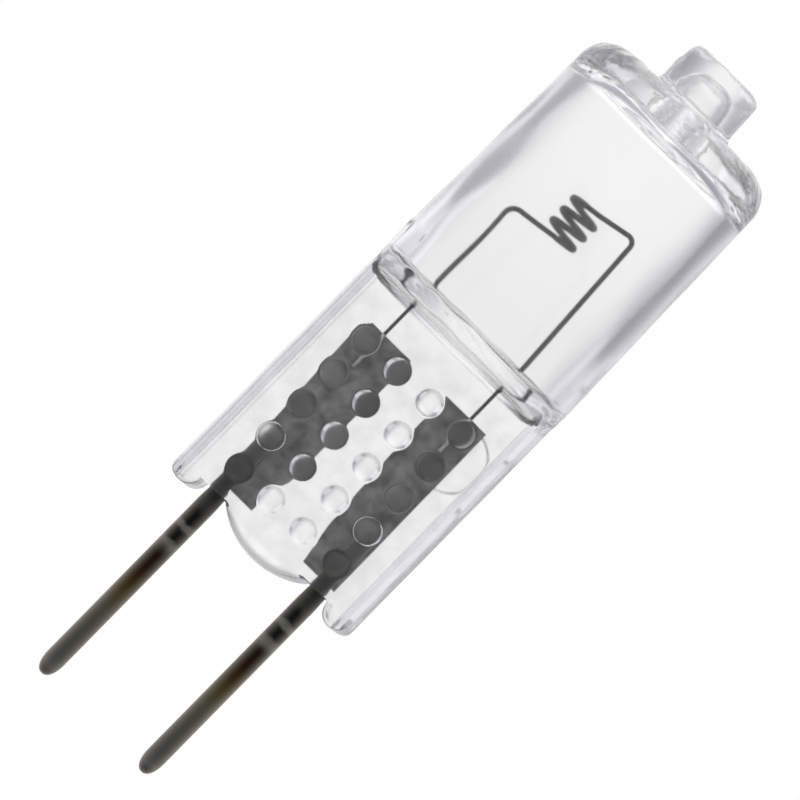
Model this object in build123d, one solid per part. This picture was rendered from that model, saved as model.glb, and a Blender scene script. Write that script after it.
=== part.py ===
"""Two-pin quartz halogen capsule bulb.

Millimetres. +Z runs along the lamp from the pins to the sealed tip, X across the pins and
Y through the pinch. The origin is midway between the pins, level with the feet of the pinch.
"""

import os
from math import cos, hypot, pi, sin

from build123d import *

# Contact pins
PIN_SPACING = 6.35
PIN_RADIUS = 0.5
PIN_REACH = 10.5
PIN_TIP_LENGTH = 0.55
PIN_TIP_RADIUS = 0.25
PIN_NECK_RADIUS = 0.46
PIN_NECK_LENGTH = 0.95
TANG_WIDTH = 0.84
TANG_THICKNESS = 0.4
TANG_END = 4.6

# Seal foils
FOIL_WIDTH = 2.5
FOIL_LENGTH = 9.8
FOIL_THICKNESS = 0.04
FOIL_START = 1.3
FOIL_INSET = 0.775

# Filament: legs of plain wire, and a coil of a strand that is itself wound of finer wire
WIRE_RADIUS = 0.12
STRAND_RADIUS = 0.175
WIRE_SIDES = 6
WIRE_PRESSED = 0.05
WELD_LENGTH = 2.0
LEFT_LEG_X = -2.92
RIGHT_LEG_X = 2.55
RIGHT_LEG_LEAN = 0.37
LEG_BEND_RADIUS = 1.5
LEFT_CORNER_RADIUS = 0.6
RIGHT_CORNER_RADIUS = 0.35
COIL_X = -0.43
COIL_START = 19.6
COIL_RADIUS = 0.8
COIL_PITCH = 0.65
COIL_TURNS = 3
ARM_LEAD = 0.7
ARM_RISE = 0.45

# Pinch: a web between two rounded rails that end in feet
PINCH_WIDTH = 10.75
PINCH_HEIGHT = 12.9
WEB_THICKNESS = 3.4
RAIL_THICKNESS = 3.8
RAIL_WIDTH = 1.0
RAIL_ROUND = 0.45
FOOT_WIDTH = 1.55

# Lobe of glass squeezed out between the pins
LOBE_RADIUS = 4.06
LOBE_DROP = 0.35
LOBE_THICKNESS = 2.0
LOBE_BEVEL = 0.25
LOBE_PIN_GAP = 0.12

# Pips moulded on the front of the web, and the plain round pad on the back
PIP_RADIUS = 0.65
PIP_HEIGHT = 0.33
PIP_PITCH_X = 2.03
PIP_PITCH_Z = 2.01
PIP_COLUMNS = 4
PIP_ROWS = 5
PIP_START = 2.3
PAD_RADIUS = 1.6
PAD_HEIGHT = 0.25
PAD_X = 3.2
PAD_Z = 9.3

# Bulb, its hollow and the sealed exhaust tip
BULB_RADIUS = 5.6
BULB_LENGTH = 15.05
BULB_BASE_BEVEL = 0.3
SHOULDER_ROUND = 1.6
SHOULDER_SIDES = 5
WALL = 1.1
FLOOR_WALL = 1.05
FLOOR_BEVEL = 0.25
ROOF_WALL = 1.5
ROOF_BEVEL = 0.4
TIP_RADIUS = 2.1
TIP_HEIGHT = 2.45
TIP_ROUND = 0.5
TIP_SIDES = 4
BORE_RADIUS = 1.2
BORE_DEPTH = 3.15
BORE_BEVEL = 0.3

# Places worked out from the sizes above
BULB_TOP = PINCH_HEIGHT + BULB_LENGTH
HOLLOW_FLOOR = PINCH_HEIGHT + FLOOR_WALL
HOLLOW_ROOF = BULB_TOP - ROOF_WALL
FOIL_END = FOIL_START + FOIL_LENGTH
FOIL_X = PIN_SPACING / 2 - FOIL_INSET
FRONT_OF_FOIL = -FOIL_THICKNESS / 2
WIRE_Y = FRONT_OF_FOIL - WIRE_RADIUS + WIRE_PRESSED
FOOT_RADIUS = FOOT_WIDTH / 2
PINCH_TOP = PINCH_HEIGHT + BULB_BASE_BEVEL


def contact_pin(x):
    """A pin with a blunt point, a neck that enters the glass and a flat tang welded to the foil."""
    outline = Polyline(
        (0, -PIN_REACH),
        (PIN_TIP_RADIUS, -PIN_REACH),
        (PIN_RADIUS, PIN_TIP_LENGTH - PIN_REACH),
        (PIN_RADIUS, 0),
        (PIN_NECK_RADIUS, PIN_NECK_LENGTH),
        (0, PIN_NECK_LENGTH),
        close=True,
    )
    rod = revolve(Plane.XZ * make_face(outline), Axis.Z)
    tang = Box(
        TANG_WIDTH,
        TANG_THICKNESS,
        TANG_END - PIN_NECK_LENGTH,
        align=(Align.CENTER, Align.MAX, Align.MIN),
    )
    return Pos(x, 0, 0) * (rod + Pos(0, FRONT_OF_FOIL, PIN_NECK_LENGTH) * tang)


def seal_foil(x):
    foil = Box(FOIL_WIDTH, FOIL_THICKNESS, FOIL_LENGTH, align=(Align.CENTER, Align.CENTER, Align.MIN))
    return Pos(x, 0, FOIL_START) * foil


def drawn_wire(path, radius):
    """A wire of flat-sided section along a path."""
    section = RegularPolygon(radius, WIRE_SIDES, major_radius=False, rotation=180 / WIRE_SIDES)
    return sweep(Plane(path @ 0, x_dir=(1, 0, 1), z_dir=path % 0) * section, path=path)


def filament(foils):
    """Two legs and the coil between them, with the legs' ends pressed flat on the foils."""
    weld_z = FOIL_END - WELD_LENGTH
    coil_path = Pos(COIL_X, 0, COIL_START) * Rot(0, 0, -90) * Helix(
        COIL_PITCH, COIL_PITCH * COIL_TURNS, COIL_RADIUS
    )
    coil_in = coil_path @ 0
    coil_out = coil_path @ 1
    turn_length = hypot(2 * pi * COIL_RADIUS, COIL_PITCH)
    along = Vector(2 * pi * COIL_RADIUS, 0, COIL_PITCH) / turn_length

    left_corner = coil_in + along * ((LEFT_LEG_X - coil_in.X) / along.X)
    left_path = FilletPolyline(
        (LEFT_LEG_X, WIRE_Y, weld_z),
        (LEFT_LEG_X, WIRE_Y, HOLLOW_FLOOR),
        left_corner,
        coil_in,
        radius=[LEG_BEND_RADIUS, LEFT_CORNER_RADIUS],
    )
    arm_bend = coil_out + along * ARM_LEAD
    right_corner = (RIGHT_LEG_X - RIGHT_LEG_LEAN, coil_out.Y, coil_out.Z + ARM_RISE)
    right_path = FilletPolyline(
        (RIGHT_LEG_X, WIRE_Y, weld_z),
        (RIGHT_LEG_X, WIRE_Y, HOLLOW_FLOOR),
        right_corner,
        arm_bend,
        coil_out,
        radius=[LEG_BEND_RADIUS, RIGHT_CORNER_RADIUS, LEG_BEND_RADIUS],
    )
    legs = drawn_wire(left_path, WIRE_RADIUS) + drawn_wire(right_path, WIRE_RADIUS)
    return legs + drawn_wire(coil_path, STRAND_RADIUS) - foils


def turned(outline):
    """The solid that an outline, drawn from the axis round to the axis again, sweeps about Z."""
    profile = make_face([*outline.edges(), Line(outline @ 1, outline @ 0)])
    return revolve(Plane.XZ * profile, Axis.Z)


def rounded_corner(radius, sides, corner):
    """Points round an outer corner, from below it over to its top, in flat sides."""
    for step in range(sides + 1):
        angle = pi / 2 * step / sides
        yield corner[0] - radius * (1 - cos(angle)), corner[1] - radius * (1 - sin(angle))


def bulb_body():
    """Bulb and tip as one turned form, closed below by a floor with a bevelled rim."""
    tip_top = BULB_TOP + TIP_HEIGHT
    outline = Polyline(
        (0, PINCH_HEIGHT),
        (BULB_RADIUS - BULB_BASE_BEVEL, PINCH_HEIGHT),
        (BULB_RADIUS, PINCH_HEIGHT + BULB_BASE_BEVEL),
        *rounded_corner(SHOULDER_ROUND, SHOULDER_SIDES, (BULB_RADIUS, BULB_TOP)),
        (TIP_RADIUS, BULB_TOP),
        *rounded_corner(TIP_ROUND, TIP_SIDES, (TIP_RADIUS, tip_top)),
        (0, tip_top),
    )
    return turned(outline)


def hollow():
    """The gas space, drawn out into the closed bore of the exhaust tip."""
    radius = BULB_RADIUS - WALL
    outline = Polyline(
        (0, HOLLOW_FLOOR),
        (radius - FLOOR_BEVEL, HOLLOW_FLOOR),
        (radius, HOLLOW_FLOOR + FLOOR_BEVEL),
        (radius, HOLLOW_ROOF - ROOF_BEVEL),
        (radius - ROOF_BEVEL, HOLLOW_ROOF),
        (BORE_RADIUS, HOLLOW_ROOF),
        (BORE_RADIUS, HOLLOW_ROOF + BORE_DEPTH - BORE_BEVEL),
        (BORE_RADIUS - BORE_BEVEL, HOLLOW_ROOF + BORE_DEPTH),
        (0, HOLLOW_ROOF + BORE_DEPTH),
    )
    return turned(outline)


def pinch_section():
    """The pinch cut across: a web with a rounded rail at each side."""
    rail_x = (PINCH_WIDTH - RAIL_WIDTH) / 2
    section = Rectangle(2 * rail_x, WEB_THICKNESS)
    for side in (-1, 1):
        section += Pos(side * rail_x, 0) * RectangleRounded(RAIL_WIDTH, RAIL_THICKNESS, RAIL_ROUND)
    return section


def pinch_front():
    """The pinch seen from the front: straight sides that end in two round feet."""
    front = Pos(0, (FOOT_RADIUS + PINCH_TOP) / 2) * Rectangle(PINCH_WIDTH, PINCH_TOP - FOOT_RADIUS)
    for side in (-1, 1):
        front += Pos(side * (PINCH_WIDTH / 2 - FOOT_RADIUS), FOOT_RADIUS) * Circle(FOOT_RADIUS)
    return front


def pinch_body():
    """The pinch, run up a little way into the floor of the bulb."""
    beam = extrude(pinch_section(), PINCH_TOP)
    front = extrude(Plane.XZ * pinch_front(), RAIL_THICKNESS, both=True)
    return beam & front


def lobe():
    """The rounded tongue of glass between the pins."""
    half_width = PIN_SPACING / 2 - PIN_RADIUS - LOBE_PIN_GAP
    disc = Pos(0, LOBE_RADIUS - LOBE_DROP) * Circle(LOBE_RADIUS)
    clip = Rectangle(2 * half_width, 2 * FOOT_WIDTH)
    tongue = extrude(Plane.XZ * (disc & clip), LOBE_THICKNESS / 2, both=True)
    rim = tongue.edges().filter_by(GeomType.CIRCLE)
    return chamfer(rim, LOBE_BEVEL)


def pip_places():
    left = -PIP_PITCH_X * (PIP_COLUMNS - 1) / 2
    for column in range(PIP_COLUMNS):
        for row in range(PIP_ROWS):
            yield left + column * PIP_PITCH_X, PIP_START + row * PIP_PITCH_Z


def pips():
    """Round caps on the front of the web."""
    cap_radius = (PIP_RADIUS**2 + PIP_HEIGHT**2) / (2 * PIP_HEIGHT)
    centre_y = cap_radius - PIP_HEIGHT - WEB_THICKNESS / 2
    return [Pos(x, centre_y, z) * Sphere(cap_radius) for x, z in pip_places()]


def pad():
    """A plain round raised pad on the back of the web."""
    disc = Cylinder(PAD_RADIUS, WEB_THICKNESS / 2 + PAD_HEIGHT, align=(Align.CENTER, Align.CENTER, Align.MIN))
    return Pos(PAD_X, 0, PAD_Z) * Rot(-90, 0, 0) * disc


def quartz_envelope(metal):
    """The fused glass, with the sealed-in metal cut out of it."""
    body = bulb_body() + pinch_body() + lobe() + pips() + pad()
    return body - hollow() - metal


def main():
    os.makedirs("parts", exist_ok=True)
    foils = [seal_foil(-FOIL_X), seal_foil(FOIL_X)]
    pins = [contact_pin(-PIN_SPACING / 2), contact_pin(PIN_SPACING / 2)]
    wire = filament(foils)
    nodes = {
        "quartz_envelope": quartz_envelope(foils + pins + [wire]),
        "filament": wire,
        "seal_foil_left": foils[0],
        "seal_foil_right": foils[1],
        "contact_pin_left": pins[0],
        "contact_pin_right": pins[1],
    }
    for name, shape in nodes.items():
        export_step(shape, f"parts/{name}.step")


main()
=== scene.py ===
"""Looks of the two-pin halogen capsule bulb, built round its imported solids.

Shapes are worked out in millimetres in the part's own frame and written in metres.
"""

from math import cos, pi, radians, sin

import bpy
import numpy as np
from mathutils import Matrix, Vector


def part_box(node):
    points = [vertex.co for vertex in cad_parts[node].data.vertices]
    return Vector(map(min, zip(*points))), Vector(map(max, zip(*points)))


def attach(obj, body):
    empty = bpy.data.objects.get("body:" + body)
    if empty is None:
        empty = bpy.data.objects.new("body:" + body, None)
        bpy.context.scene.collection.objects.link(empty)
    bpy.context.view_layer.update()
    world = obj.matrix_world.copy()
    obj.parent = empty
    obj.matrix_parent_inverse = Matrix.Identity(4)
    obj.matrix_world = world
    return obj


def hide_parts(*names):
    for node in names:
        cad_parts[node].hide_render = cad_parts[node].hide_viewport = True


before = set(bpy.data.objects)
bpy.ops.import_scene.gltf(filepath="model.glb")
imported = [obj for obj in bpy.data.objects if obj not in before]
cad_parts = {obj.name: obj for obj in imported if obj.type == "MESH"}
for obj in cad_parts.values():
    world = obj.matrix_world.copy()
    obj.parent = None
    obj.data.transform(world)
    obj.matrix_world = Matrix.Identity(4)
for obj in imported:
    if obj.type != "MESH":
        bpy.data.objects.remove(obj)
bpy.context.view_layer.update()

import openvdb
from mathutils import Matrix, Vector

MM = 0.001


def box_mm(node):
    """Lowest and highest corner of a CAD node in millimetres."""
    low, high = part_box(node)
    return np.array(low) / MM, np.array(high) / MM


# Places read from the solids
GLASS_LOW, GLASS_HIGH = box_mm("quartz_envelope")
PIN_LOW, PIN_HIGH = box_mm("contact_pin_right")
PIN_X = (PIN_LOW[0] + PIN_HIGH[0]) / 2
PIN_RADIUS = (PIN_HIGH[0] - PIN_LOW[0]) / 2
FOIL_TOP = box_mm("seal_foil_left")[1][2]
TIP_TOP = GLASS_HIGH[2]

# Bulb and its gas space
BULB_RADIUS = GLASS_HIGH[0]
BULB_TAPER = 0.018
BULB_FLOOR = 12.9
BULB_FLOOR_SLOPE = 0.08
BULB_FLOOR_ROUND = 0.25
BULB_BEVEL = 0.4
BULB_BEVEL_ROUND = 0.3
BULB_TOP = 27.95
SHOULDER_ROUND = 1.6
WALL = 0.88
HOLLOW_X = 0.05
HOLLOW_FLOOR = 13.95
HOLLOW_FLOOR_ROUND = 0.35
HOLLOW_ROOF = 26.45
HOLLOW_ROOF_ROUND = 1.1

# Exhaust tip and its bore, which start above and below the roof of the gas space
TIP_RISE = 0.4
TIP_BASE_RADIUS = 2.2
TIP_TOP_RADIUS = 2.06
TIP_ROUND = 0.5
TIP_COVE = 0.3
BORE_DROP = 1.0
BORE_MOUTH_RADIUS = 1.15
BORE_MOUTH_ROUND = 0.25
BORE_END_RADIUS = 0.9
BORE_END_ROUND = 0.7
BORE_END = 29.6

# Pinch: a web between two rails with round feet, which runs up into the bulb
PINCH_HALF_WIDTH = 5.5
PINCH_ROUND = 0.2
PINCH_RISE = 2.5
PINCH_COVE = 0.35
WEB_HALF = 1.7
RAIL_HALF_WIDTH = 0.27
RAIL_HALF_DEPTH = 1.94
RAIL_X = PINCH_HALF_WIDTH - RAIL_HALF_WIDTH
RAIL_ROUND = 0.2
RAIL_COVE = 0.15
FOOT_RADIUS = 0.775

# Lobe between the pins, which thickens upwards until it is nearly as thick as the web
LOBE_RISE = 0.1
LOBE_BOTTOM = GLASS_LOW[2] + LOBE_RISE
LOBE_RADIUS = 4.06
LOBE_HALF = 1.25
LOBE_HALF_WIDTH = 2.55
LOBE_DRAFT = 0.1
LOBE_WEDGE = 0.4
LOBE_SETBACK = 0.03
LOBE_ROUND = 0.35
LOBE_COVE = 0.06

# Pips on the front, lower at the bottom row than at the top row, and pad on the back
PIP_RADIUS = 0.65
PIP_HEIGHTS = (0.42, 0.55)
PIP_PITCH_X = 2.03
PIP_PITCH_Z = 2.01
PIP_START = 2.3
PIP_COLUMNS = 4
PIP_ROWS = 5
PAD_RADIUS = 1.6
PAD_HEIGHT = 0.35
PAD_ROUND = 0.14
PAD_X = 3.2
PAD_Z = 9.3
MOULD_COVE = 0.08

# Bubbles left in the glass over the ends of the tangs
BUBBLE_RADIUS = 0.6
BUBBLE_X = 3.05
BUBBLE_Y = -1.08
BUBBLE_Z = 4.31

# Waves in the glass, as (depth, distance between bumps), and the collar where they are drawn out sideways
TIP_WAVES = [(0.1, 1.1), (0.035, 0.45)]
COLLAR_WAVES = (0.1, 0.4)
COLLAR_Z = 13.5
COLLAR_REACH = 0.9
COLLAR_STRETCH = 0.35
BODY_WAVES = (0.03, 2.6)
HOLLOW_WAVES = (0.05, 3.1)

# Grid that the glass is meshed on, as spans of (start, end, step), and how its points settle on the surface
GRID_X = [(-5.72, -4.92, 0.07), (-4.92, 4.92, 0.12), (4.92, 5.72, 0.07)]
GRID_Y = [(-5.72, -2.4, 0.24), (-2.4, 2.4, 0.1), (2.4, 5.72, 0.24)]
GRID_Z = [(-0.6, 15.0, 0.11), (15.0, 25.2, 0.5), (25.2, 30.7, 0.14)]
SETTLE_ROUNDS = 4
SETTLE_STEEPNESS = 0.3

# Pins: blunt point, neck in the glass and flat tang, whose end narrows by (way down, width, depth)
RING_SIDES = 48
PIN_TIP_LENGTH = 0.95
PIN_TIP_RINGS = 12
PIN_TIP_ANGLE = 0.12
PIN_TIP_POWER = 0.8
NECK_TOP = 0.95
NECK_RADIUS = 0.46
NECK_FADE = 0.35
FOIL_HALF = 0.02
TANG_TOP = 4.6
TANG_HALF_WIDTH = 0.42
TANG_HALF_DEPTH = 0.2
TANG_Y = -TANG_HALF_DEPTH - FOIL_HALF
TANG_END = [(0.3, 1.0, 1.0), (0.05, 0.7, 0.8), (0.0, 0.5, 0.6)]

# Foils: where the left and the right edge of each run, as (height, x), and their ripple
FOIL_EDGES = {
    "seal_foil_left": (
        [(1.3, -3.5), (10.55, -3.88), (11.1, -3.5)],
        [(1.3, -1.45), (2.6, -1.45), (3.4, -1.14), (6.0, -1.11), (11.1, -1.07)],
    ),
    "seal_foil_right": (
        [(1.3, 1.8), (3.2, 1.48), (7.4, 1.23), (11.1, 1.17)],
        [(1.3, 3.77), (11.1, 3.69)],
    ),
}
FOIL_RINGS = 80
FOIL_RIPPLE = 0.006
FOIL_RIPPLE_RATE = 2.1

# Filament: legs of plain wire, and a coil wound of a finer coil
WIRE_RADIUS = 0.12
WIRE_SIDES = 16
LEAD_RADIUS = 0.085
FINE_RADIUS = 0.05
FINE_PITCH = 0.108
FINE_POINTS = 12
FINE_SIDES = 8
STRAND_RADIUS = 0.165
WIRE_Y = -0.09
WELD_Z = 9.1
LEFT_LEG_X = -2.76
RIGHT_LEG_X = 2.71
RIGHT_LEG_LEAN = 0.37
LEG_BEND = 1.5
LEFT_CORNER_BEND = 0.6
RIGHT_CORNER_BEND = 0.35
COIL_X = -0.26
COIL_START = 19.6
COIL_RADIUS = 0.8
COIL_PITCH = 0.65
COIL_TURNS = 3
ARM_LEAD = 0.7
ARM_RISE = 0.45

# A direction that no wire starts along, from which its rings are turned
SLANT_WAY = (0.31, 0.87, 0.39)

# How dull the glass is at heights along the lamp: pressed pinch, blown bulb, worked tip
QUARTZ_IOR = 1.458
GLASS_ROUGHNESS = [(12.5, 0.19), (13.9, 0.16), (14.1, 0.09), (27.6, 0.09), (28.6, 0.26)]

# Clearness of the glass: mottled over a fine noise where pressed; where blown, painted shade that darkens
# the bulb towards its foot and fades out upwards
PINCH_TINTS = [(0.35, 0.82), (0.62, 0.95)]
PINCH_MOTTLE = 1100.0
BULB_PAINTED_SHADE = [(13.9, 0.96), (14.3, 0.955), (16.0, 0.955), (19.5, 0.972), (23.0, 0.99)]
BLOWN_FADE = 1.0

# Painted shade on the rim at the foot of the pinch, darker where the glass is seen at a slant: clearness by
# slant, and the height at which it ends
RIM_SHADE_TINTS = [(0.09, 1.0), (0.35, 0.3)]
RIM_TOP = 0.9
RIM_FADE = 0.4

# Metals: dark and light tint of the mottling, roughness, and scale of the mottling
METALS = {
    "tungsten": ((0.018, 0.018, 0.019), (0.042, 0.042, 0.045), 0.45, 3000.0),
    # A bright copy of the wire's tungsten, a painted highlight for where the legs lie on the foils
    "tungsten_painted_bright": ((0.6, 0.6, 0.605), (0.8, 0.8, 0.805), 0.4, 3000.0),
    "tungsten_coiled": ((0.07, 0.07, 0.072), (0.14, 0.14, 0.143), 0.5, 3000.0),
    "foil_molybdenum": ((0.08, 0.08, 0.082), (0.255, 0.255, 0.258), 0.45, 1200.0),
}
METAL_STOPS = (0.35, 0.65)
METAL_DETAIL = 4.0
METAL_SHARE = 0.4

# Tints along a pin from the point to the glass and on to the foil, and a pale sheen painted into its colour
# at a slant
PIN_TINTS = [
    (-10.5, (0.005, 0.005, 0.004)),
    (-10.25, (0.03, 0.03, 0.027)),
    (-10.0, (0.08, 0.08, 0.072)),
    (-9.4, (0.06, 0.06, 0.054)),
    (-6.5, (0.064, 0.063, 0.047)),
    (-5.4, (0.055, 0.041, 0.015)),
    (-4.6, (0.032, 0.017, 0.003)),
    (-3.9, (0.016, 0.005, 0.001)),
    (-3.0, (0.01, 0.004, 0.001)),
    (-2.75, (0.03, 0.028, 0.022)),
    (-2.45, (0.11, 0.108, 0.09)),
    (-2.25, (0.09, 0.09, 0.075)),
    (-2.1, (0.005, 0.005, 0.004)),
    (-1.55, (0.005, 0.005, 0.004)),
    (-1.4, (0.11, 0.11, 0.093)),
    (-1.2, (0.1, 0.1, 0.085)),
    (-1.05, (0.004, 0.004, 0.003)),
    (-0.5, (0.005, 0.005, 0.004)),
    (-0.1, (0.03, 0.03, 0.026)),
    (0.35, (0.03, 0.03, 0.027)),
    (1.4, (0.008, 0.008, 0.008)),
    (2.6, (0.06, 0.06, 0.062)),
    (4.6, (0.12, 0.12, 0.122)),
]
PIN_PAINTED_SHEEN_TINT = (1.0, 0.95, 0.8)
PIN_PAINTED_SHEEN_BLEND = 0.16
PIN_BLOTCH = 0.03
PIN_MOTTLE = 1800.0
PIN_METAL_SHARE = 0.35
PIN_ROUGHNESS = 0.42
PIN_GLOSS = 0.05

# Light from the room, and the backdrop's levels round the lamp, in degrees from straight behind to the right
ROOM_LIGHT = 0.85
ROOM_BLUE = 0.06
ROOM_LEVELS = [
    (-180, 0.88),
    (-95, 0.85),
    (-80, 0.75),
    (-68, 0.52),
    (-56, 0.42),
    (-42, 0.4),
    (-35, 0.5),
    (-30, 0.76),
    (-20, 0.92),
    (-7, 0.93),
    (0, 0.92),
    (7, 0.75),
    (14, 0.54),
    (21, 0.41),
    (30, 0.32),
    (45, 0.3),
    (57, 0.45),
    (72, 0.75),
    (90, 0.85),
    (180, 0.88),
]

# Share of those levels, by how far a direction leans down or up
HEIGHT_BANDS = [
    (-0.95, (1.0, 1.0, 1.0)),
    (-0.8, (0.9, 0.9, 0.91)),
    (-0.68, (0.9, 0.9, 0.91)),
    (-0.5, (1.0, 1.0, 1.0)),
    (0.2, (1.0, 1.0, 1.0)),
    (0.45, (1.2, 1.2, 1.2)),
    (0.68, (1.05, 1.05, 1.07)),
    (0.8, (1.05, 1.05, 1.07)),
    (0.95, (1.2, 1.2, 1.2)),
]

# White cards: degrees round the lamp, width, level and top edge
CARDS = {
    "card_left": (-45, 46.0, 0.28, 19.5),
    "card_right": (37, 63.0, 0.28, 19.5),
    "card_low_left": (-57, 55.0, 0.15, 14.0),
    "card_low_right": (46, 60.0, 0.08, 14.0),
}
CARD_HEIGHT = 30.0
CARD_DISTANCE = 75.0
CARD_TINT = (0.97, 0.96, 1.0)

# Floor, far enough below the pins to keep only a soft shadow
FLOOR_Z = -60.0
FLOOR_RADIUS = 220.0
FLOOR_SIDES = 96
FLOOR_FADE = 90.0
FLOOR_TINTS = [(0.3, 0.84), (0.7, 0.87)]
FLOOR_MOTTLE = 30.0
FLOOR_ROUGHNESS = 0.8
FLOOR_GLOSS = 0.1

# Camera, set to the photograph's frame
VIEW_WIDTH = 35.89
VIEW_X = -0.25
VIEW_Z = 9.51
CAMERA_DISTANCE = 600.0
CAMERA_NEAR = 10.0
CAMERA_FAR = 20000.0
CAMERA_YAW = radians(7)
CAMERA_ROLL = radians(44.5)
SENSOR = 36.0

# Bounces of light, enough to cross several walls of glass
GLASS_BOUNCES = 32
GLOSSY_BOUNCES = 16


def round_max(a, b, r):
    """Where two fields meet: both inside, the outer corner rounded to r."""
    corner = np.hypot(np.maximum(a + r, 0), np.maximum(b + r, 0))
    return np.minimum(np.maximum(a, b), -r) + corner


def round_min(a, b, r):
    """Two fields joined, the inner corner filled to r."""
    return -round_max(-a, -b, r)


def bulb_radius(z):
    """Outer radius of the bulb, which narrows a little upwards."""
    return BULB_RADIUS - BULB_TAPER * np.maximum(z - HOLLOW_FLOOR, 0)


def bulb_field(rho, y, z):
    """The bulb as a full body, with its bevelled floor, round shoulder and tip."""
    wall = rho - bulb_radius(z)
    floor = BULB_FLOOR + BULB_FLOOR_SLOPE * np.maximum(np.abs(y) - WEB_HALF, 0)
    bevel = (rho - z - (BULB_RADIUS - BULB_BEVEL - BULB_FLOOR)) / np.sqrt(2)
    body = round_max(wall, z - BULB_TOP, SHOULDER_ROUND)
    body = round_max(body, bevel, BULB_BEVEL_ROUND)
    body = round_max(body, (floor - z) / np.hypot(1, BULB_FLOOR_SLOPE), BULB_FLOOR_ROUND)
    share = np.clip((z - BULB_TOP) / (TIP_TOP - BULB_TOP), 0, 1)
    tip_radius = TIP_BASE_RADIUS + (TIP_TOP_RADIUS - TIP_BASE_RADIUS) * share
    tip = round_max(rho - tip_radius, z - TIP_TOP, TIP_ROUND)
    tip = np.maximum(tip, HOLLOW_ROOF + TIP_RISE - z)
    return round_min(body, tip, TIP_COVE)


def hollow_field(rho, z):
    """The gas space and the blind bore of the tip."""
    space = round_max(rho - (bulb_radius(z) - WALL), z - HOLLOW_ROOF, HOLLOW_ROOF_ROUND)
    space = round_max(space, HOLLOW_FLOOR - z, HOLLOW_FLOOR_ROUND)
    share = np.clip((z - HOLLOW_ROOF) / (BORE_END - HOLLOW_ROOF), 0, 1)
    bore_radius = BORE_MOUTH_RADIUS + (BORE_END_RADIUS - BORE_MOUTH_RADIUS) * share
    bore = round_max(rho - bore_radius, z - BORE_END, BORE_END_ROUND)
    bore = np.maximum(bore, HOLLOW_ROOF - BORE_DROP - z)
    return round_min(space, bore, BORE_MOUTH_ROUND)


def pinch_field(x, y, z):
    """Web and rails of the pinch, cut to its front outline with the round feet."""
    across = np.abs(x)
    depth = np.abs(y)
    web = np.maximum(across - RAIL_X, depth - WEB_HALF)
    rails = round_max(np.abs(across - RAIL_X) - RAIL_HALF_WIDTH, depth - RAIL_HALF_DEPTH, RAIL_ROUND)
    section = round_min(web, rails, RAIL_COVE)
    slab = np.maximum(across - PINCH_HALF_WIDTH, FOOT_RADIUS - z)
    feet = np.hypot(across - (PINCH_HALF_WIDTH - FOOT_RADIUS), z - FOOT_RADIUS) - FOOT_RADIUS
    front = np.minimum(slab, feet)
    pinch = round_max(section, front, PINCH_ROUND)
    return np.maximum(pinch, z - BULB_FLOOR - PINCH_RISE)


def lobe_field(x, y, z):
    """The tongue squeezed out between the pins, part of a disc that thickens upwards."""
    disc = np.hypot(x, z - LOBE_BOTTOM - LOBE_RADIUS) - LOBE_RADIUS
    half = np.minimum(LOBE_HALF + LOBE_WEDGE * (z - LOBE_BOTTOM), WEB_HALF - LOBE_SETBACK)
    faces = (np.abs(y) - half) / np.hypot(1, LOBE_WEDGE)
    tongue = round_max(disc + LOBE_DRAFT * np.abs(y), faces, LOBE_ROUND)
    return np.maximum(np.maximum(tongue, np.abs(x) - LOBE_HALF_WIDTH), z - 2 * FOOT_RADIUS)


def nearest_step(value, start, pitch, count):
    """The nearest place on an even row of places."""
    index = np.clip(np.round((value - start) / pitch), 0, count - 1)
    return start + index * pitch


def pip_field(x, y, z):
    """Rows of pips, each the cap of a ball that stands out of the web's front."""
    near_x = nearest_step(x, -PIP_PITCH_X * (PIP_COLUMNS - 1) / 2, PIP_PITCH_X, PIP_COLUMNS)
    near_z = nearest_step(z, PIP_START, PIP_PITCH_Z, PIP_ROWS)
    top_row = PIP_START + PIP_PITCH_Z * (PIP_ROWS - 1)
    height = np.interp(near_z, [PIP_START, top_row], PIP_HEIGHTS)
    ball = (PIP_RADIUS**2 + height**2) / (2 * height)
    centre_y = ball - height - WEB_HALF
    return np.sqrt((x - near_x) ** 2 + (y - centre_y) ** 2 + (z - near_z) ** 2) - ball


def pad_field(x, y, z):
    """The round pad on the back of the web."""
    disc = np.hypot(x - PAD_X, z - PAD_Z) - PAD_RADIUS
    return round_max(disc, np.abs(y - WEB_HALF) - PAD_HEIGHT, PAD_ROUND)


def bubble_field(x, y, z):
    """One bubble on each side."""
    across = np.abs(x) - BUBBLE_X
    return np.sqrt(across**2 + (y - BUBBLE_Y) ** 2 + (z - BUBBLE_Z) ** 2) - BUBBLE_RADIUS


def waves(x, y, z, depth, length):
    """A smooth random-looking field from 0 to a depth, with bumps about a length apart."""
    k = pi / length
    first = np.sin(k * (x + 0.6 * z) + 0.7) * np.sin(k * (y - 0.5 * z) + 1.9)
    second = np.sin(k * (0.8 * x - 1.1 * y) + 2.3) * np.sin(k * (z + 0.3 * y) + 0.4)
    return depth * (0.5 + 0.25 * (first + second))


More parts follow.
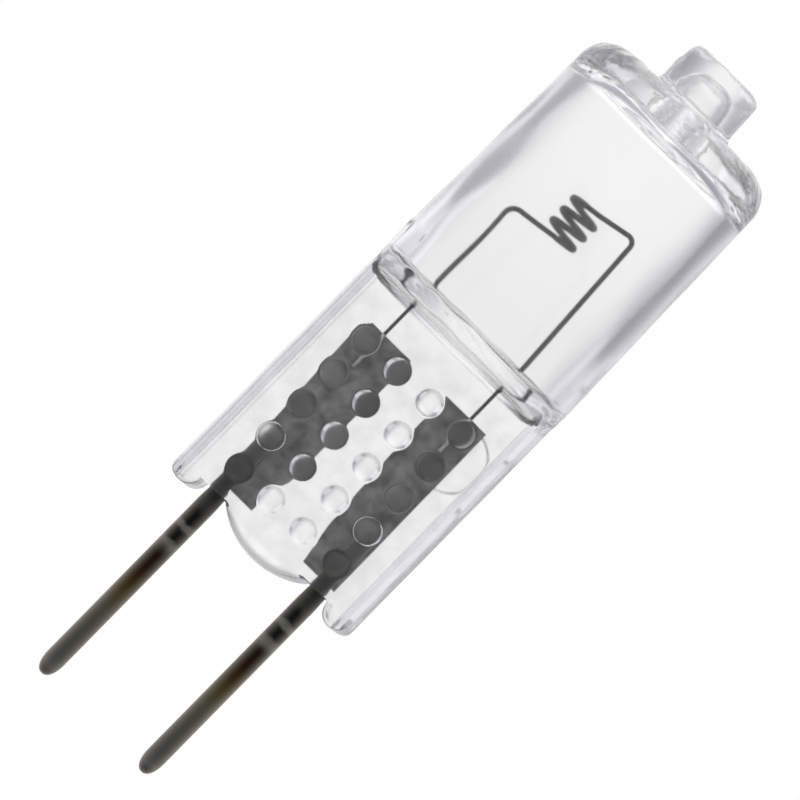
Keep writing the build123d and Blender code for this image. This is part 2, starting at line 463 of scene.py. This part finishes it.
def glass_field(x, y, z):
    """Negative in the quartz, positive in the air and in the gas space."""
    rho = np.hypot(x, y)
    body = round_min(bulb_field(rho, y, z), pinch_field(x, y, z), PINCH_COVE)
    body = np.maximum(body, rho - BULB_RADIUS)
    body = round_min(body, lobe_field(x, y, z), LOBE_COVE)
    body = round_min(body, pip_field(x, y, z), MOULD_COVE)
    body = round_min(body, pad_field(x, y, z), MOULD_COVE)
    tip_share = np.clip((z - HOLLOW_ROOF) / (BULB_TOP - HOLLOW_ROOF), 0, 1)
    body = body + tip_share * sum(waves(x, y, z, *size) for size in TIP_WAVES)
    collar_share = np.clip(1 - np.abs(z - COLLAR_Z) / COLLAR_REACH, 0, 1)
    body = body + collar_share * waves(COLLAR_STRETCH * x, COLLAR_STRETCH * y, z, *COLLAR_WAVES)
    body = body + waves(x, y, z, *BODY_WAVES)
    space = hollow_field(np.hypot(x - HOLLOW_X, y), z) + waves(x, y, z, *HOLLOW_WAVES)
    return np.maximum(np.maximum(body, -space), -bubble_field(x, y, z))


def grid_planes(spans):
    """Grid planes over spans of (start, end, step)."""
    planes = [np.arange(start, end, step) for start, end, step in spans]
    return np.concatenate(planes + [[spans[-1][1]]])


def field_normals(field, points, step=0.004):
    """The field's gradient, which points out of the glass."""
    slopes = []
    for axis in range(3):
        offset = np.zeros(3)
        offset[axis] = step
        ahead = field(*(points + offset).T)
        behind = field(*(points - offset).T)
        slopes.append((ahead - behind) / (2 * step))
    return np.array(slopes).T


def field_mesh(name, field, planes):
    """A closed mesh of a field's zero surface, with the field's own normals."""
    x, y, z = np.meshgrid(*planes, indexing="ij", sparse=True)
    grid = openvdb.FloatGrid()
    grid.copyFromArray(field(x, y, z))
    found, triangles, quads = grid.convertToPolygons(isovalue=0.0, adaptivity=0.0)
    points = np.array([np.interp(found[:, i], np.arange(len(p)), p) for i, p in enumerate(planes)]).T
    for _ in range(SETTLE_ROUNDS):
        slope = field_normals(field, points)
        size = np.maximum((slope**2).sum(1), SETTLE_STEEPNESS)
        points -= slope * (field(*points.T) / size)[:, None]
    slope = field_normals(field, points)
    faces = quads.tolist() + triangles.tolist()
    mesh = bpy.data.meshes.new(name)
    mesh.from_pydata(points * MM, [], faces)
    mesh.shade_smooth()
    mesh.normals_split_custom_set_from_vertices(slope / np.linalg.norm(slope, axis=1)[:, None])
    return mesh


def ring_mesh(name, rings):
    """A closed mesh through rings of points, each ring given as a row of corners."""
    rows, sides, _ = rings.shape
    faces = []
    for row in range(rows - 1):
        for side in range(sides):
            here = row * sides + side
            beside = row * sides + (side + 1) % sides
            faces.append((here, beside, beside + sides, here + sides))
    faces.append(tuple(range(sides))[::-1])
    faces.append(tuple(range((rows - 1) * sides, rows * sides)))
    mesh = bpy.data.meshes.new(name)
    mesh.from_pydata(rings.reshape(-1, 3) * MM, [], faces)
    mesh.shade_smooth()
    return mesh


def oval_rings(sections):
    """Upright rings for sections of (z, middle x, half width, middle y, half depth)."""
    turn = np.linspace(0, 2 * pi, RING_SIDES, endpoint=False)
    rings = []
    for z, middle_x, half_width, middle_y, half_depth in sections:
        across = middle_x + half_width * np.cos(turn)
        depth = middle_y + half_depth * np.sin(turn)
        rings.append(np.column_stack([across, depth, np.full(RING_SIDES, z)]))
    return np.array(rings)


def tube_rings(points, radii, sides):
    """Rings of a round tube that follows points without twisting, each with its own radius."""
    along = np.gradient(points, axis=0)
    along /= np.linalg.norm(along, axis=1)[:, None]
    turn = np.linspace(0, 2 * pi, sides, endpoint=False)[:, None]
    side = np.cross(along[0], SLANT_WAY)
    rings = []
    for point, ahead, radius in zip(points, along, radii):
        side = side - ahead * (side @ ahead)
        side /= np.linalg.norm(side)
        rings.append(point + radius * (np.cos(turn) * side + np.sin(turn) * np.cross(ahead, side)))
    return np.array(rings)


def bend(before, corner, after, radius, count=12):
    """Points round one corner of a wire bent to a radius."""
    back = (before - corner) / np.linalg.norm(before - corner)
    on = (after - corner) / np.linalg.norm(after - corner)
    half = np.arccos(back @ on) / 2
    centre = corner + (back + on) / np.linalg.norm(back + on) * radius / np.sin(half)
    start = corner + back * radius / np.tan(half) - centre
    end = corner + on * radius / np.tan(half) - centre
    share = np.linspace(0, 1, count)[:, None]
    swing = pi - 2 * half
    return centre + (np.sin((1 - share) * swing) * start + np.sin(share * swing) * end) / np.sin(swing)


def bent_path(corners, radii):
    """A wire's middle line through its corners."""
    corners = [np.array(corner, float) for corner in corners]
    bends = [bend(*corners[i:i + 3], radius) for i, radius in enumerate(radii)]
    return np.concatenate([[corners[0]], *bends, [corners[-1]]])


def show(name, data):
    """A new object in the scene."""
    thing = bpy.data.objects.new(name, data)
    bpy.context.scene.collection.objects.link(thing)
    return thing


def add_piece(name, mesh, materials, node):
    """A piece of the lamp that stands for a CAD node, or for a share of one."""
    piece = show(name, mesh)
    for material in materials:
        mesh.materials.append(material)
    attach(piece, "root")
    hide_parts(node)


def add_node(tree, kind, **inputs):
    """A new shader node, with values for some of its inputs."""
    node = tree.nodes.new(kind)
    for key, value in inputs.items():
        node.inputs[key.replace("_", " ")].default_value = value
    return node


def socket(sockets, name, kind):
    """The socket of a name and kind, where several share the name."""
    return next(s for s in sockets if s.name == name and s.type == kind)


def feed(tree, source, target):
    """Link a socket to an input, or set the input to a plain value."""
    if isinstance(source, bpy.types.NodeSocket):
        tree.links.new(source, target)
    else:
        target.default_value = source


def greys(stops):
    """Stops of grey levels, as stops of colours."""
    return [(position, (level, level, level)) for position, level in stops]


def placed(stops, low, high):
    """Stops at real places, as stops on the way from low to high."""
    return [((place - low) / (high - low), colour) for place, colour in stops]


def ramp(tree, value, stops):
    """A colour that follows a value through stops of (position, colour), in order."""
    node = add_node(tree, "ShaderNodeValToRGB")
    elements = node.color_ramp.elements
    while len(elements) < len(stops):
        elements.new(0.5)
    for element, (position, colour) in zip(elements, stops):
        element.position = position
        element.color = (*colour, 1)
    tree.links.new(value, node.inputs["Fac"])
    return node.outputs["Color"]


def share_between(tree, value, low, high, shift=0.0):
    """How far a value is on the way from low to high, from 0 to 1, with a shift added."""
    node = add_node(tree, "ShaderNodeMapRange", From_Min=low, From_Max=high, To_Min=shift, To_Max=1 + shift)
    tree.links.new(value, node.inputs["Value"])
    return node.outputs["Result"]


def mix_colours(tree, factor, first, second, blend_type="MIX"):
    """Two colours mixed by a factor."""
    node = add_node(tree, "ShaderNodeMix")
    node.data_type = "RGBA"
    node.blend_type = blend_type
    feed(tree, factor, node.inputs["Factor"])
    feed(tree, first, socket(node.inputs, "A", "RGBA"))
    feed(tree, second, socket(node.inputs, "B", "RGBA"))
    return socket(node.outputs, "Result", "RGBA")


def mix_shaders(tree, factor, first, second):
    """Two shaders mixed by a factor."""
    node = add_node(tree, "ShaderNodeMixShader")
    tree.links.new(factor, node.inputs["Fac"])
    tree.links.new(first, node.inputs[1])
    tree.links.new(second, node.inputs[2])
    return node.outputs["Shader"]


def object_place(tree):
    """Places in the object's own frame."""
    return add_node(tree, "ShaderNodeTexCoord").outputs["Object"]


def split_place(tree, place):
    """The x, y and z of a place."""
    node = add_node(tree, "ShaderNodeSeparateXYZ")
    tree.links.new(place, node.inputs["Vector"])
    return node.outputs


def mottle(tree, place, scale, detail=3.0):
    """A soft noise over a surface."""
    node = add_node(tree, "ShaderNodeTexNoise", Scale=scale, Detail=detail)
    tree.links.new(place, node.inputs["Vector"])
    return node.outputs["Fac"]


def new_material(name):
    """A material with its node tree and its shader."""
    material = bpy.data.materials.new(name)
    material.use_nodes = True
    shader = material.node_tree.nodes["Principled BSDF"]
    return material, material.node_tree, shader


def painted_rim_shade(tree, height, colour):
    """A colour with shade painted in, darker at a slant, at the foot of the pinch only."""
    slant = add_node(tree, "ShaderNodeLayerWeight").outputs["Facing"]
    slant_shade = ramp(tree, slant, greys(RIM_SHADE_TINTS))
    reach = share_between(tree, height, RIM_TOP * MM, (RIM_TOP - RIM_FADE) * MM)
    return mix_colours(tree, reach, colour, slant_shade, "MULTIPLY")


def quartz_material():
    """Clear glass, mottled where it was pressed, with shade painted darker towards the foot of the blown
    bulb, and dull at the tip.
    """
    material, tree, shader = new_material("fused_quartz")
    shader.inputs["Transmission Weight"].default_value = 1.0
    shader.inputs["IOR"].default_value = QUARTZ_IOR
    place = object_place(tree)
    height = split_place(tree, place)["Z"]
    low = GLASS_LOW[2]
    high = GLASS_HIGH[2]
    way_up = share_between(tree, height, low * MM, high * MM)
    pressed = ramp(tree, mottle(tree, place, PINCH_MOTTLE), greys(PINCH_TINTS))
    # Painted shade: the blown bulb's tint darkens towards its foot
    blown_painted_shade = ramp(tree, way_up, placed(greys(BULB_PAINTED_SHADE), low, high))
    fade = share_between(tree, height, (BULB_FLOOR - BLOWN_FADE) * MM, BULB_FLOOR * MM)
    tint = mix_colours(tree, fade, pressed, blown_painted_shade)
    # Painted shade on the rim at the foot of the pinch, darker at a slant
    tree.links.new(painted_rim_shade(tree, height, tint), shader.inputs["Base Color"])
    rough = ramp(tree, way_up, placed(greys(GLASS_ROUGHNESS), low, high))
    tree.links.new(rough, shader.inputs["Roughness"])
    return material


def metal_material(name):
    """A dull grey metal, mottled between two tints."""
    dark, light, roughness, scale = METALS[name]
    material, tree, shader = new_material(name)
    shader.inputs["Metallic"].default_value = METAL_SHARE
    shader.inputs["Roughness"].default_value = roughness
    noise = mottle(tree, object_place(tree), scale, METAL_DETAIL)
    tint = ramp(tree, noise, list(zip(METAL_STOPS, (dark, light))))
    tree.links.new(tint, shader.inputs["Base Color"])
    return material


def pin_material():
    """Rod that the sealing heat has darkened and browned towards the glass, with a pale sheen painted into
    its colour at a slant.
    """
    material, tree, shader = new_material("pin_molybdenum")
    shader.inputs["Metallic"].default_value = PIN_METAL_SHARE
    shader.inputs["Roughness"].default_value = PIN_ROUGHNESS
    shader.inputs["Specular IOR Level"].default_value = PIN_GLOSS
    place = object_place(tree)
    height = split_place(tree, place)["Z"]
    low = PIN_LOW[2]
    high = PIN_HIGH[2]
    blotched = add_node(tree, "ShaderNodeMath")
    blotched.operation = "MULTIPLY_ADD"
    blotched.inputs[1].default_value = PIN_BLOTCH
    tree.links.new(mottle(tree, place, PIN_MOTTLE), blotched.inputs[0])
    way_up = share_between(tree, height, low * MM, high * MM, -PIN_BLOTCH / 2)
    tree.links.new(way_up, blotched.inputs[2])
    tint = ramp(tree, blotched.outputs[0], placed(PIN_TINTS, low, high))
    # Painted sheen: the colour turns pale where the rod is seen at a slant
    slant = add_node(tree, "ShaderNodeLayerWeight", Blend=PIN_PAINTED_SHEEN_BLEND).outputs["Facing"]
    painted_sheen = mix_colours(tree, slant, tint, (*PIN_PAINTED_SHEEN_TINT, 1))
    tree.links.new(painted_sheen, shader.inputs["Base Color"])
    return material


def make_envelope():
    """The quartz glass, meshed from its field."""
    planes = [grid_planes(spans) for spans in (GRID_X, GRID_Y, GRID_Z)]
    mesh = field_mesh("quartz_glass", glass_field, planes)
    add_piece("quartz_glass", mesh, [quartz_material()], "quartz_envelope")


def coil_point(share):
    """Middle of the coil's strand, and the outward and crosswise directions there."""
    angle = 2 * pi * COIL_TURNS * share - pi / 2
    out = np.column_stack([np.cos(angle), np.sin(angle), np.zeros_like(angle)])
    rise = COIL_PITCH * COIL_TURNS * share
    middle = np.column_stack([COIL_X + COIL_RADIUS * out[:, 0], COIL_RADIUS * out[:, 1], COIL_START + rise])
    lead = np.full_like(angle, COIL_PITCH / (2 * pi))
    along = np.column_stack([-COIL_RADIUS * out[:, 1], COIL_RADIUS * out[:, 0], lead])
    along /= np.linalg.norm(along, axis=1)[:, None]
    return middle, out, np.cross(along, out)


def wound_strand():
    """The fine wire that is wound into the coil's strand."""
    length = COIL_TURNS * np.hypot(2 * pi * COIL_RADIUS, COIL_PITCH)
    windings = round(length / FINE_PITCH)
    share = np.linspace(0, 1, windings * FINE_POINTS)
    middle, out, across = coil_point(share)
    turn = (2 * pi * windings * share)[:, None]
    return middle + (STRAND_RADIUS - FINE_RADIUS) * (np.cos(turn) * out + np.sin(turn) * across)


def leg_paths():
    """Middle lines of the two legs, from the foils to the ends of the coil."""
    ends, _, _ = coil_point(np.array([0.0, 1.0]))
    along = np.array([COIL_RADIUS, 0, COIL_PITCH / (2 * pi)])
    start, end = ends
    left_corner = start + along * (LEFT_LEG_X - start[0]) / along[0]
    left = bent_path(
        [(LEFT_LEG_X, WIRE_Y, WELD_Z), (LEFT_LEG_X, WIRE_Y, HOLLOW_FLOOR), left_corner, start],
        [LEG_BEND, LEFT_CORNER_BEND],
    )
    arm_bend = end + along * ARM_LEAD / np.linalg.norm(along)
    right_corner = (RIGHT_LEG_X - RIGHT_LEG_LEAN, end[1], end[2] + ARM_RISE)
    right = bent_path(
        [end, arm_bend, right_corner, (RIGHT_LEG_X, WIRE_Y, HOLLOW_FLOOR), (RIGHT_LEG_X, WIRE_Y, WELD_Z)],
        [LEG_BEND, RIGHT_CORNER_BEND, LEG_BEND],
    )
    for z in (BULB_FLOOR, FOIL_TOP):
        left = np.insert(left, 1, (LEFT_LEG_X, WIRE_Y, z), axis=0)
        right = np.insert(right, -1, (RIGHT_LEG_X, WIRE_Y, z), axis=0)
    return left, right


def leg_radii(points):
    """A leg's radius at each point, less where it is sealed in the pinch."""
    return np.interp(points[:, 2], [BULB_FLOOR, HOLLOW_FLOOR], [LEAD_RADIUS, WIRE_RADIUS])


def make_filament():
    """Two legs, with a highlight painted as a bright copy of their metal where they lie on their foils, and
    the coil.
    """
    leg_metals = [metal_material("tungsten"), metal_material("tungsten_painted_bright")]
    for name, points in zip(("filament_leg_left", "filament_leg_right"), leg_paths()):
        mesh = ring_mesh(name, tube_rings(points, leg_radii(points), WIRE_SIDES))
        for face in mesh.polygons:
            # Faces below the foil's top take the bright copy, a painted highlight
            face.material_index = int(face.center.z < FOIL_TOP * MM)
        add_piece(name, mesh, leg_metals, "filament")
    strand = wound_strand()
    mesh = ring_mesh("filament_coil", tube_rings(strand, np.full(len(strand), FINE_RADIUS), FINE_SIDES))
    add_piece("filament_coil", mesh, [metal_material("tungsten_coiled")], "filament")


def pin_sections(x):
    """Sections of a pin at x from its point up to the end of the tang."""
    low = PIN_LOW[2]
    sections = []
    for angle in np.linspace(PIN_TIP_ANGLE, pi / 2, PIN_TIP_RINGS):
        radius = PIN_RADIUS * np.sin(angle) ** PIN_TIP_POWER
        sections.append((low + PIN_TIP_LENGTH * (1 - np.cos(angle)), x, radius, 0, radius))
    sections[0] = (low, *sections[0][1:])
    sections.append((0, x, PIN_RADIUS, 0, PIN_RADIUS))
    sections.append((NECK_TOP, x, NECK_RADIUS, 0, NECK_RADIUS))
    sections.append((NECK_TOP + NECK_FADE, x, TANG_HALF_WIDTH, TANG_Y, TANG_HALF_DEPTH))
    for way_down, width, depth in TANG_END:
        sections.append((TANG_TOP - way_down, x, TANG_HALF_WIDTH * width, TANG_Y, TANG_HALF_DEPTH * depth))
    return sections


def make_pins():
    """The two contact pins."""
    material = pin_material()
    for side, node in ((-1, "contact_pin_left"), (1, "contact_pin_right")):
        name = f"{node}_rod"
        mesh = ring_mesh(name, oval_rings(pin_sections(side * PIN_X)))
        add_piece(name, mesh, [material], node)


def foil_sections(node):
    """Sections of a foil with feathered edges and a slight ripple."""
    low, high = box_mm(node)
    half_depth = (high[1] - low[1]) / 2
    sections = []
    for z in np.linspace(low[2], high[2], FOIL_RINGS):
        left, right = (np.interp(z, *zip(*edge)) for edge in FOIL_EDGES[node])
        ripple = FOIL_RIPPLE * sin(FOIL_RIPPLE_RATE * z)
        sections.append((z, (left + right) / 2, (right - left) / 2, ripple, half_depth))
    return sections


def make_foils():
    """The two seal foils."""
    material = metal_material("foil_molybdenum")
    for node in FOIL_EDGES:
        name = f"{node}_strip"
        mesh = ring_mesh(name, oval_rings(foil_sections(node)))
        add_piece(name, mesh, [material], node)


def room_colour(level):
    """Grey of a level, a little bluer where it is dark."""
    return level, level, level + ROOM_BLUE * (1 - level)


def backdrop_colour(tree):
    """The backdrop's colour in each direction, by the way round the lamp and by the lean."""
    place = add_node(tree, "ShaderNodeTexCoord").outputs["Generated"]
    way = split_place(tree, place)
    around = add_node(tree, "ShaderNodeMath")
    around.operation = "ARCTAN2"
    tree.links.new(way["X"], around.inputs[0])
    tree.links.new(way["Y"], around.inputs[1])
    turn = share_between(tree, around.outputs[0], -pi, pi)
    lean = share_between(tree, way["Z"], -1.0, 1.0)
    levels = [(degrees, room_colour(level)) for degrees, level in ROOM_LEVELS]
    sides = ramp(tree, turn, placed(levels, -180, 180))
    bands = ramp(tree, lean, placed(HEIGHT_BANDS, -1, 1))
    return mix_colours(tree, 1.0, sides, bands, "MULTIPLY")


def rays_of(tree, kinds):
    """1 for rays of these kinds and 0 for others."""
    path = add_node(tree, "ShaderNodeLightPath")
    found = path.outputs[kinds[0]]
    for kind in kinds[1:]:
        total = add_node(tree, "ShaderNodeMath")
        total.use_clamp = True
        tree.links.new(found, total.inputs[0])
        tree.links.new(path.outputs[kind], total.inputs[1])
        found = total.outputs[0]
    return found


def background(tree, colour):
    """Light of a colour from all round."""
    node = add_node(tree, "ShaderNodeBackground")
    feed(tree, colour, node.inputs["Color"])
    return node.outputs["Background"]


def make_world():
    """A plain room for light, and a backdrop: white to the camera, grey at the sides to glass and metal."""
    world = bpy.data.worlds.new("studio")
    world.use_nodes = True
    bpy.context.scene.world = world
    tree = world.node_tree
    tree.nodes.clear()
    room = background(tree, (*room_colour(ROOM_LIGHT), 1))
    white = background(tree, (1, 1, 1, 1))
    sides = background(tree, backdrop_colour(tree))
    backdrop = mix_shaders(tree, rays_of(tree, ["Is Camera Ray"]), sides, white)
    seen = rays_of(tree, ["Is Camera Ray", "Is Glossy Ray", "Is Transmission Ray"])
    output = add_node(tree, "ShaderNodeOutputWorld")
    tree.links.new(mix_shaders(tree, seen, room, backdrop), output.inputs["Surface"])


def make_cards():
    """White cards low behind the object, two on each side, that light its lower half."""
    for name, (degrees, width, level, top) in CARDS.items():
        data = bpy.data.lights.new(name, "AREA")
        data.shape = "RECTANGLE"
        data.size = width * MM
        data.size_y = CARD_HEIGHT * MM
        # A lamp's energy spread over four times its area gives the level that is seen
        data.energy = level * 4 * data.size * data.size_y
        data.color = CARD_TINT
        card = show(name, data)
        turn = radians(degrees)
        place = Vector((sin(turn), cos(turn), 0)) * CARD_DISTANCE * MM
        place.z = (top - CARD_HEIGHT / 2) * MM
        card.location = place
        card.rotation_euler = (pi / 2, 0, pi - turn)


def floor_material():
    """A pale floor that fades out towards its rim."""
    material, tree, shader = new_material("pale_floor")
    shader.inputs["Roughness"].default_value = FLOOR_ROUGHNESS
    shader.inputs["Specular IOR Level"].default_value = FLOOR_GLOSS
    place = object_place(tree)
    tint = ramp(tree, mottle(tree, place, FLOOR_MOTTLE), greys(FLOOR_TINTS))
    tree.links.new(tint, shader.inputs["Base Color"])
    reach = add_node(tree, "ShaderNodeVectorMath")
    reach.operation = "LENGTH"
    tree.links.new(place, reach.inputs[0])
    fade = share_between(tree, reach.outputs["Value"], FLOOR_FADE * MM, FLOOR_RADIUS * MM)
    fade.node.interpolation_type = "SMOOTHSTEP"
    clear = add_node(tree, "ShaderNodeBsdfTransparent")
    surface = mix_shaders(tree, fade, shader.outputs["BSDF"], clear.outputs["BSDF"])
    tree.links.new(surface, tree.nodes["Material Output"].inputs["Surface"])
    return material


def make_floor():
    """A round floor under the object."""
    turn = np.linspace(0, 2 * pi, FLOOR_SIDES, endpoint=False)
    rim = np.column_stack([np.cos(turn), np.sin(turn), np.zeros(FLOOR_SIDES)]) * FLOOR_RADIUS * MM
    mesh = bpy.data.meshes.new("floor")
    mesh.from_pydata(rim, [], [tuple(range(FLOOR_SIDES))])
    mesh.materials.append(floor_material())
    floor = show("floor", mesh)
    floor.location.z = FLOOR_Z * MM


def make_camera():
    """A long lens, turned a little to the right-hand side and rolled as the photograph is."""
    forward = Vector((-sin(CAMERA_YAW), cos(CAMERA_YAW), 0))
    level = Vector((cos(CAMERA_YAW), sin(CAMERA_YAW), 0))
    upright = Vector((0, 0, 1))
    right = level * cos(CAMERA_ROLL) + upright * sin(CAMERA_ROLL)
    up = upright * cos(CAMERA_ROLL) - level * sin(CAMERA_ROLL)
    data = bpy.data.cameras.new("camera")
    data.sensor_width = SENSOR
    data.lens = SENSOR * CAMERA_DISTANCE / VIEW_WIDTH
    data.clip_start = CAMERA_NEAR * MM
    data.clip_end = CAMERA_FAR * MM
    camera = show("camera", data)
    aim = level * VIEW_X + upright * VIEW_Z
    turn = Matrix((right, up, -forward)).transposed()
    camera.matrix_world = Matrix.Translation((aim - forward * CAMERA_DISTANCE) * MM) @ turn.to_4x4()
    bpy.context.scene.camera = camera


def set_scene():
    """Plain colours, and light that reaches through all the glass."""
    scene = bpy.context.scene
    scene.view_settings.view_transform = "Standard"
    scene.cycles.max_bounces = GLASS_BOUNCES
    scene.cycles.transmission_bounces = GLASS_BOUNCES
    scene.cycles.glossy_bounces = GLOSSY_BOUNCES
    scene.cycles.use_denoising = True


set_scene()
make_world()
make_cards()
make_floor()
make_camera()
make_envelope()
make_filament()
make_pins()
make_foils()
